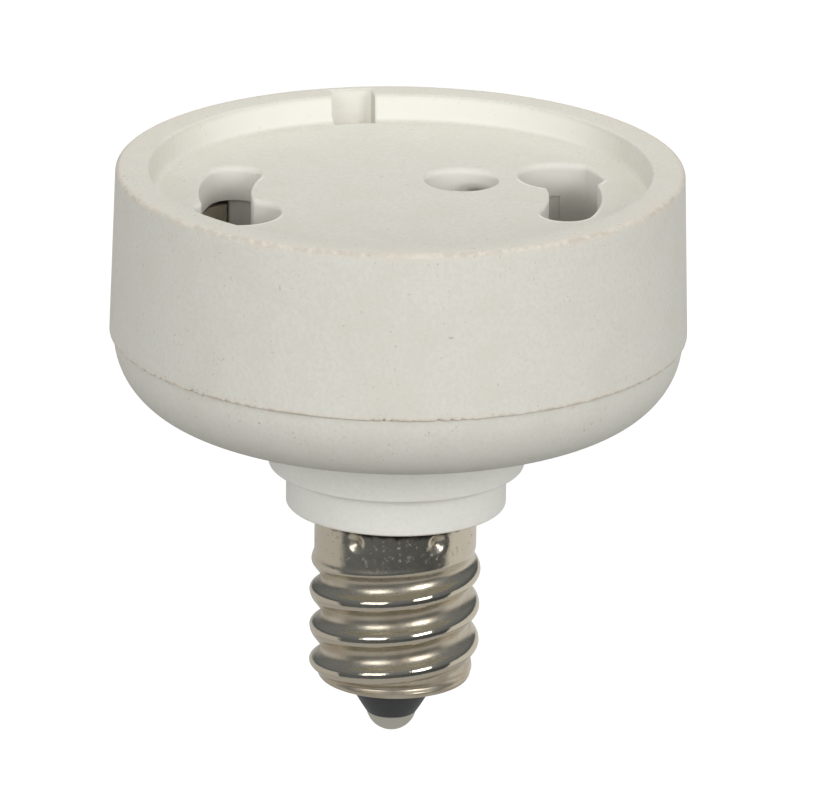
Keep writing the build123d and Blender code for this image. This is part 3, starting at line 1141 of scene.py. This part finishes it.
@dataclass
class BaseBowl:
    """Lower ceramic: a flat underside, a round corner, and a lip that sits inside the cap."""

    side_r: float = 19.55
    corner: float = 5.1
    top_edge: float = 0.08
    lip_r: float = 16.45
    lip_top_z: float = 14.05
    cavity_r: float = 14.95
    post_sunk: float = 0.2

    def build(self, finish: bpy.types.Material) -> bpy.types.Object:
        """Turn the bowl's section round the axis and stand a post under each contact foot.

        Args:
            finish: Its ceramic.

        Returns:
            The finished bowl.
        """
        draft = Draft()
        section = rounded(
            [
                (0.0, BOWL_Z),
                (self.side_r, BOWL_Z),
                (self.side_r, JOINT_Z),
                (self.lip_r, JOINT_Z),
                (self.lip_r, self.lip_top_z),
                (self.cavity_r, self.lip_top_z),
                (self.cavity_r, BOWL_INSIDE_Z),
                (0.0, BOWL_INSIDE_Z),
            ],
            (self.corner, self.top_edge, 0.0, 0.1, 0.1, 0.4),
            steps=28,
        )
        draft.grid(turned(section, ring(480)), 1.1 * bell(section, (self.side_r, JOINT_Z), 0.15))
        root_z = BOWL_INSIDE_Z - self.post_sunk
        for turn in TURNS:
            post = foot_post(turn)
            draft.grid(carried(post, np.array([(0.0, root_z), (0.0, FOOT_Z)])))
            draft.fill([post], FOOT_Z)
            draft.fill([post], root_z)
        return draft.piece("base_bowl_body", finish, "ceramic", "base_bowl")


@dataclass
class BaseNeck:
    """White core: a flange and a collar outside, a plug down inside the shell."""

    flange_r: float = 8.83
    flange_edge: float = 0.17
    collar_r: float = 7.6
    collar_edge: float = 0.2
    inner_fillet: float = 0.18
    core_r: float = 4.9
    core_end_z: float = -10.95

    def build(self, finish: bpy.types.Material) -> bpy.types.Object:
        """Turn the neck's section round the axis.

        Args:
            finish: Its smooth white.

        Returns:
            The finished neck.
        """
        draft = Draft()
        section = rounded(
            [
                (0.0, BOWL_Z),
                (self.flange_r, BOWL_Z),
                (self.flange_r, FLANGE_Z),
                (self.collar_r, FLANGE_Z),
                (self.collar_r, 0.0),
                (self.core_r, 0.0),
                (self.core_r, self.core_end_z),
                (0.0, self.core_end_z),
            ],
            (0.05, self.flange_edge, self.inner_fillet, self.collar_edge, 0.0, 0.0),
        )
        section = divided(section, 0.4)
        collar = bell(section, (self.collar_r, 0.0), 0.2)
        flange = bell(section, (self.flange_r, FLANGE_Z), 0.2)
        draft.grid(turned(section, ring(360)), 1.05 * collar + 0.6 * flange)
        return draft.piece("base_neck_body", finish, "neck_white", "base_neck")


@dataclass
class ScrewShell:
    """Rolled metal shell: plain band with punched dents, rounded thread, turned-in end."""

    radius: float = 5.6
    pitch: float = 2.6
    lean: float = 0.16
    depth: float = 0.65
    thread_top: float = 2.98
    late_start: float = 0.4
    runout: float = 1.2
    crest_drop: float = 4.95
    root_skew: tuple[float, float] = (0.115, 0.033)
    left_depth: float = 0.2
    crest_share: float = 0.4
    taper: float = 0.05
    taper_drop: float = 5.0
    taper_run: float = 3.0
    end_r: float = 5.27
    end_taper: float = 0.65
    end_runout: float = 0.6
    end_gap: float = 0.1
    bead_overlap: float = 0.15
    end_edge: float = 0.45
    tip_hole_r: float = 3.45
    bore_r: float = 4.98
    dent_drop: float = 1.43
    dent_r: float = 0.52
    dent_depth: float = 0.34
    dent_power: float = 2.4
    dent_angles: tuple[float, ...] = (-121.2, -60.3, 58.8, 119.7)

    def knuckle(self, turns: np.ndarray) -> np.ndarray:
        """Work out the thread's profile.

        Crest and root are arcs that meet at one slope. The tangent of half that slope is the depth over
        the half pitch, and each arc's radius is its half length over the slope's sine.

        Args:
            turns: Turns along the thread's pitch from a crest.

        Returns:
            Height above the thread's mean.
        """
        half = self.pitch / 2
        slope = 2 * np.arctan(self.depth / half)
        crest_half = self.crest_share * half
        off = (turns % 1.0) * self.pitch
        away = np.minimum(off, self.pitch - off)
        crest_bend = crest_half / np.sin(slope)
        root_bend = (half - crest_half) / np.sin(slope)
        crest = self.depth / 2 - crest_bend + np.sqrt(crest_bend**2 - np.minimum(away, crest_half) ** 2)
        past = np.minimum(half - away, half - crest_half)
        root = -self.depth / 2 + root_bend - np.sqrt(root_bend**2 - past**2)
        return np.where(away <= crest_half, crest, root)

    def skin(self, drop: np.ndarray, angle: np.ndarray) -> np.ndarray:
        """Work out the shell's outside.

        The mean radius narrows a little halfway and more above the end's bead. It carries the thread
        between its run-outs, the upper one later on the left. The thread is rolled a little out of square,
        its roots more than its crests, and a bell-shaped dent is pushed in at each punch mark.

        Args:
            drop: Depths below the shoulder, as a column.
            angle: Angles round the axis, in radians.

        Returns:
            Radius at each depth and angle.
        """
        end = -SHELL_END_Z - self.end_edge
        turned_in = smooth((drop - end + self.end_gap + self.end_taper) / self.end_taper)
        radius = self.radius - self.taper * smooth((drop - self.taper_drop) / self.taper_run)
        radius = between((radius, self.end_r), turned_in)
        top = self.thread_top + self.late_start * np.maximum(-np.cos(angle), 0.0)
        fade = smooth((drop - top) / self.runout)
        fade = fade * smooth((end + self.bead_overlap - drop) / self.end_runout)
        turns = (drop - self.crest_drop + self.lean * np.cos(angle)) / self.pitch + angle / tau
        root = np.sin(pi * turns) ** 2
        side = np.cos(angle) ** 3
        turns = turns + (self.root_skew[0] * side - self.root_skew[1] * side**2) * root
        deeper = self.left_depth * np.maximum(-side, 0.0) ** 2 * np.sin(pi * turns) ** 4
        radius = radius + fade * (self.knuckle(turns) - deeper)
        for mark in self.dent_angles:
            around = (angle - radians(mark) + pi) % tau - pi
            away = np.hypot(around * self.radius, drop - self.dent_drop) / self.dent_r
            radius = radius - self.dent_depth * np.exp(-(away**self.dent_power))
        return radius

    def build(self, finish: bpy.types.Material) -> bpy.types.Object:
        """Make the shell as one grid: outside from the shoulder down, round the end, up the bore.

        Args:
            finish: Its nickel.

        Returns:
            The finished shell.
        """
        angle = ring(300)
        end = -SHELL_END_Z - self.end_edge
        drop = np.linspace(0.0, end, 220)[:, None]
        skin = self.skin(drop, angle)
        turn = np.linspace(0.0, pi / 2, 9)[1:, None]
        curl = skin[-1:] - self.end_edge * (1.0 - np.cos(turn))
        inside = np.array(
            [
                (self.tip_hole_r, SHELL_END_Z),
                (self.tip_hole_r, SHELL_END_Z + SHELL_WALL),
                (self.bore_r, SHELL_END_Z + SHELL_WALL),
                (self.bore_r, 0.0),
            ]
        )
        outside = lifted(polar_line(skin, angle), -drop)
        round_end = lifted(polar_line(curl, angle), -end - self.end_edge * np.sin(turn))
        rows = np.concatenate([outside, round_end, turned(inside, angle), outside[:1]])
        reach = np.hypot(rows[..., 0], rows[..., 1])
        draft = Draft()
        draft.grid(rows, np.clip((reach - self.radius) / self.depth + 0.5, 0.0, 1.0))
        return draft.piece("screw_shell_body", finish, "nickel_plate", "screw_shell")


@dataclass
class TipPieces:
    """Black insulator and the domed contact riveted through it."""

    disc_r: float = 4.93
    disc_thickness: float = 1.0
    waist_r: float = 3.2
    waist_drop: float = 0.1
    barrel_r: float = 2.08
    barrel_rise: float = 0.55
    end_r: float = 1.72
    contact_r: float = 1.7
    contact_edge: float = 0.05
    off_axis: tuple[float, float, float] = (-0.12, 0.0, 0.0)

    def insulator(self, finish: bpy.types.Material) -> bpy.types.Object:
        """Turn the insulator's cone and its hidden disc round the axis.

        Args:
            finish: Its black plastic.

        Returns:
            The finished insulator.
        """
        seat_z = SHELL_END_Z + SHELL_WALL
        section = rounded(
            [
                (0.0, seat_z + self.disc_thickness),
                (self.disc_r, seat_z + self.disc_thickness),
                (self.disc_r, seat_z),
                (self.waist_r, seat_z),
                (self.waist_r, SHELL_END_Z - self.waist_drop),
                (self.barrel_r, INSULATOR_END_Z + self.barrel_rise),
                (self.end_r, INSULATOR_END_Z),
                (0.0, INSULATOR_END_Z),
            ],
            (0.0, 0.0, 0.0, 0.1, 0.4, 0.12),
        )
        draft = Draft()
        draft.grid(turned(section, ring(180)) + self.off_axis)
        return draft.piece("tip_insulator_body", finish, "tip_black", "tip_insulator")

    def contact(self, finish: bpy.types.Material) -> bpy.types.Object:
        """Turn the contact round the axis: a short side, then a dome as part of a sphere.

        Args:
            finish: Its metal.

        Returns:
            The finished contact.
        """
        start = INSULATOR_END_Z - self.contact_edge
        drop = start - CONTACT_END_Z
        ball = (self.contact_r**2 + drop**2) / (2 * drop)
        turn = np.linspace(asin(self.contact_r / ball), 0.0, 40)
        dome = np.stack([ball * np.sin(turn), CONTACT_END_Z + ball - ball * np.cos(turn)], 1)
        top = [(0.0, INSULATOR_END_Z), (self.contact_r, INSULATOR_END_Z)]
        section = np.concatenate([top, dome])
        draft = Draft()
        draft.grid(turned(section, ring(180)) + self.off_axis, 0.5)
        return draft.piece("centre_contact_body", finish, "nickel_plate", "centre_contact")


@dataclass
class InnerParts:
    """Springs, leads, screw and washer: the CAD solids, joined up and shaded smooth."""

    frame: dict

    def dress(self, node: str, finish: bpy.types.Material, slot: str) -> bpy.types.Object:
        """Copy a CAD node's mesh, merge its loose triangles and give it a finish.

        Args:
            node: CAD node's name.
            finish: Its material.
            slot: Record slot that the finish belongs to; not used.

        Returns:
            The finished copy.
        """
        mesh = self.frame["nodes"][node].data.copy()
        merged = bmesh.new()
        merged.from_mesh(mesh)
        bmesh.ops.remove_doubles(merged, verts=merged.verts, dist=SLIVER)
        merged.to_mesh(mesh)
        merged.free()
        return placed(mesh, node + "_body", finish, slot, node)


@dataclass(frozen=True)
class Lamp:
    """A soft lamp: angles from the camera's side in degrees, size and reach in metres, power in watts."""

    name: str
    azimuth: float
    elevation: float
    size: tuple[float, float]
    power: float
    reach: float = 0.55
    colour: Colour = (1.0, 1.0, 1.0)
    mirrored: bool = True

    def hang(self, towards: Vector) -> None:
        """Hang the lamp in the direction of a unit vector, facing the object.

        Args:
            towards: Direction from the object to the lamp.
        """
        data = bpy.data.lights.new(self.name, "AREA")
        data.shape = "RECTANGLE"
        data.size, data.size_y = self.size
        data.energy = self.power
        data.color = self.colour
        item = bpy.data.objects.new(self.name, data)
        turn = towards.to_track_quat("Z", "Y").to_matrix().to_4x4()
        item.matrix_world = Matrix.Translation(towards * self.reach) @ turn
        item.visible_camera = False
        item.visible_glossy = self.mirrored
        bpy.context.scene.collection.objects.link(item)


@dataclass
class Studio:
    """White tent: a pale floor, five soft lamps, grey screens for the metal to mirror, and the camera."""

    rim_centre: tuple[float, float, float] = (0.0, 0.0, RIM_Z)
    rim_pixel: tuple[float, float] = (400.56, 167.87)
    image: tuple[int, int] = (814, 786)
    scale: float = 14.62
    distance: float = 800.0
    sensor: float = 36.0
    azimuth: float = -1.8
    elevation: float = 17.29
    roll: float = 0.81
    floor_z: float = -80.0
    floor_reach: float = 4000.0
    floor_colour: tuple[float, float, float, float] = (0.40, 0.40, 0.39, 1.0)
    floor_glow: float = 0.8
    ambient: float = 0.42
    front_light: float = 0.76
    low_reach: float = 60.0
    low_rise: tuple[float, float] = (-35.0, -4.0)
    side_levels: tuple[float, float] = (0.50, 0.66)
    dark_levels: tuple[float, float] = (0.13, 0.08)
    dark_edges: tuple[float, float] = (-78.0, 76.5)
    high_reach: float = 900.0
    high_rise: tuple[float, ...] = (-8.0, 10.0, 25.0, 40.0, 55.0, 70.0, 82.0)
    room_levels: tuple[float, float] = (0.17, 0.26)
    wing_levels: tuple[float, float] = (0.11, 0.19)
    under_z: float = -61.0
    under_reach: float = 110.0
    under_level: float = 0.42
    cool: tuple[float, float, float, float] = (0.9, 1.0, 1.14, 1.0)
    lamps: tuple[Lamp, ...] = (
        Lamp("left_lamp", -32.0, 23.0, (0.30, 0.20), 0.50),
        Lamp("right_lamp", 35.0, 23.0, (0.20, 0.20), 0.71),
        Lamp("top_lamp", 180.0, 62.0, (0.08, 0.08), 0.030, reach=0.11, colour=(1.0, 0.985, 0.93)),
        Lamp("left_fill", -95.0, -2.0, (0.30, 0.20), 0.17, reach=0.5, mirrored=False),
        Lamp("right_fill", 95.0, -2.0, (0.30, 0.20), 0.19, reach=0.5, mirrored=False),
    )

    def direction(self, azimuth: float, elevation: float) -> Vector:
        """Return the unit vector towards an azimuth from the camera's side and an elevation, in degrees."""
        turn, rise = radians(self.azimuth + azimuth), radians(elevation)
        return Vector((sin(turn) * cos(rise), -cos(turn) * cos(rise), sin(rise)))

    def camera(self) -> None:
        """Set the camera where the photograph's lines say.

        It stands off from the rim's centre along the viewing direction, turned by a small roll, and looks
        at the point that puts the rim's centre on its own pixel.
        """
        back = self.direction(0.0, self.elevation)
        level = Vector((-back.y, back.x, 0.0)).normalized()
        above = back.cross(level)
        turn = radians(self.roll)
        right, up = level * cos(turn) + above * sin(turn), above * cos(turn) - level * sin(turn)
        off_x = (self.rim_pixel[0] - self.image[0] / 2) / self.scale
        off_y = (self.image[1] / 2 - self.rim_pixel[1]) / self.scale
        centre = Vector(self.rim_centre)
        place = centre + back * self.distance
        away = (place - (centre - right * off_x - up * off_y)).normalized()
        side = up.cross(away).normalized()
        data = bpy.data.cameras.new("camera")
        data.sensor_width = self.sensor
        data.lens = self.scale * self.distance / self.image[0] * self.sensor
        data.clip_start, data.clip_end = 0.01, 20.0
        item = bpy.data.objects.new("camera", data)
        basis = Matrix((side, away.cross(side), away)).transposed().to_4x4()
        item.matrix_world = Matrix.Translation(place * MM) @ basis
        bpy.context.scene.collection.objects.link(item)
        bpy.context.scene.camera = item

    def world(self) -> None:
        """Light from all round, more from the front; the camera and bright metal see it white."""
        world = bpy.data.worlds.new("tent")
        bpy.context.scene.world = world
        world.use_nodes = True
        board = Board(world.node_tree)
        way = board.add("TexCoord").outputs["Generated"]
        depth = board.add("SeparateXYZ", Vector=way).outputs["Y"]
        front = board.maths("MAXIMUM", board.maths("MULTIPLY", depth, -self.front_light), 0.0)
        lit = board.maths("ADD", front, self.ambient)
        level = board.add("MapRange", Value=board.seen(), To_Min=lit, To_Max=1.0).outputs[0]
        light = board.add("Background", Color=WHITE, Strength=level)
        board.add("OutputWorld", Surface=light.outputs[0])

    def sheet(self, name: str, points: np.ndarray, finish: bpy.types.Material) -> bpy.types.Object:
        """Add a stage surface.

        Args:
            name: Name of the surface.
            points: Grid of points in millimetres.
            finish: Its material.

        Returns:
            The surface.
        """
        rows, columns = points.shape[:2]
        row, column = np.arange(rows - 1)[:, None] * columns, np.arange(columns - 1)[None]
        start = row + column
        quads = np.stack([start, start + 1, start + columns + 1, start + columns], -1)
        mesh = bpy.data.meshes.new(name)
        mesh.from_pydata((points.reshape(-1, 3) * MM).tolist(), [], quads.reshape(-1, 4).tolist())
        mesh.materials.append(finish)
        item = bpy.data.objects.new(name, mesh)
        bpy.context.scene.collection.objects.link(item)
        return item

    def floor(self) -> None:
        """Lay a pale floor that takes the object's shadow, looks white and is clear from below."""
        made, board = blank("floor")
        clay = board.add("BsdfDiffuse", Color=self.floor_colour)
        glow = board.add("Emission", Strength=board.maths("MULTIPLY", board.seen(), self.floor_glow))
        both = board.add("AddShader", in_0=clay.outputs[0], in_1=glow.outputs[0])
        below = board.add("NewGeometry").outputs["Backfacing"]
        clear = board.add("BsdfTransparent").outputs[0]
        shown = board.add("MixShader", in_0=below, in_1=both.outputs[0], in_2=clear)
        board.add("OutputMaterial", Surface=shown.outputs[0])
        span = np.array([-self.floor_reach, self.floor_reach])
        self.sheet("floor", lifted(np.stack(np.meshgrid(span, span), -1), self.floor_z), made)

    def screen(self, name: str, points: np.ndarray, level: np.ndarray) -> None:
        """Hang a grey screen, its brightness given at each point.

        It is there for the metal to mirror: it gives no light or shadow, and the camera doesn't see it.

        Args:
            name: Name of the screen.
            points: Grid of points in millimetres.
            level: Brightness of each point.
        """
        made, board = blank(name)
        grey = board.attribute("level")
        tint = board.mix(board.ramp(grey, 0.1, 0.45), self.cool, WHITE)
        glow = board.add("Emission", Color=tint, Strength=grey)
        board.add("OutputMaterial", Surface=glow.outputs[0])
        item = self.sheet(name, points, made)
        item.data.attributes.new("level", "FLOAT", "POINT").data.foreach_set("value", level.ravel())
        item.visible_camera = False
        item.visible_diffuse = False
        item.visible_shadow = False
        item.visible_transmission = False

    def round(self, azimuth: np.ndarray, elevation: np.ndarray, reach: float) -> np.ndarray:
        """Stand an upright cylinder round the object.

        Args:
            azimuth: Angles from the camera's side, in degrees.
            elevation: Angles above the horizon, in degrees.
            reach: Radius in millimetres.

        Returns:
            Grid of points in millimetres.
        """
        line = polar_line(reach, np.radians(self.azimuth + azimuth) - pi / 2)
        height = reach * np.tan(np.radians(elevation))[:, None]
        return lifted(np.broadcast_to(line, (len(elevation), *line.shape)), height)

    def screens(self) -> None:
        """Hang what the metal sees: a dark front and bright sides below the horizon, a dim room above.

        The lower screen stands near the object, its dark part between two upright edges. The upper one
        stands behind the lamps and is darkest at the sides. A round one lies underneath.
        """
        azimuth = np.linspace(-180.0, 180.0, 361)
        side = smooth((azimuth + 60.0) / 120.0)
        start, end = self.dark_edges
        front = smooth((azimuth - start) / 2.0) * smooth((end - azimuth) / 2.0)
        low = between((between(self.side_levels, side), between(self.dark_levels, side)), front)
        stand = self.round(azimuth, np.array(self.low_rise), self.low_reach)
        self.screen("low_screen", stand, np.stack([low, low]))
        rise = np.array(self.high_rise)
        ahead = smooth((100.0 - np.abs(azimuth)) / 40.0)
        room = between(self.room_levels, smooth((rise - 25.0) / 30.0))[:, None]
        wings = between(self.wing_levels, smooth((rise - 8.0) / 15.0))[:, None]
        self.screen("high_screen", self.round(azimuth, rise, self.high_reach), between((wings, room), ahead))
        out = np.array([0.0, self.under_reach])[:, None]
        disc = polar_line(out, pi / 2 - np.radians(azimuth))
        self.screen("under_screen", lifted(disc, self.under_z), np.full(disc.shape[:2], self.under_level))

    def build(self) -> None:
        """Set up the whole studio."""
        bpy.context.scene.view_settings.view_transform = "Standard"
        self.camera()
        self.world()
        self.floor()
        for lamp in self.lamps:
            lamp.hang(self.direction(lamp.azimuth, lamp.elevation))
        self.screens()


def main() -> None:
    """Load the frame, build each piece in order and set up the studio."""
    logging.basicConfig(level=logging.INFO, format="%(name)s: %(message)s")
    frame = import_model()
    ceramic = CeramicFinish().material()
    nickel = NickelFinish().material()
    white = CeramicFinish(
        name="neck_white",
        body=(237, 236, 230),
        shade=(232, 231, 223),
        pale=(239, 238, 232),
        clay=Clay.SMOOTH,
        specks=0.15,
    ).material()
    SocketCap().build(ceramic)
    BaseBowl().build(ceramic)
    BaseNeck().build(white)
    ScrewShell().build(nickel)
    tip = TipPieces()
    tip.insulator(PlainFinish("tip_black", (54, 56, 55), 0.36).material())
    tip.contact(PlainFinish("contact_nickel", (222, 218, 204), 0.42, metallic=1.0, grain=0.12).material())
    inner = InnerParts(frame)
    spring = PlainFinish("spring_metal", (205, 194, 174), 0.45, metallic=0.6).material()
    wire = PlainFinish("tinned_wire", (196, 192, 184), 0.3, metallic=1.0).material()
    sleeve = PlainFinish("sleeve_white", (224, 221, 212), 0.7).material()
    steel = PlainFinish("steel", (190, 187, 180), 0.32, metallic=1.0).material()
    for side in ("right", "left"):
        inner.dress(f"contact_spring_{side}", spring, "spring_metal")
    for lead in ("live", "neutral"):
        inner.dress(f"{lead}_wire", wire, "tinned_wire")
        inner.dress(f"{lead}_sleeve", sleeve, "sleeve_white")
    for fixing in ("assembly_screw", "lock_washer"):
        inner.dress(fixing, steel, "steel")
    Studio().build()


if __name__ == "__main__":
    main()
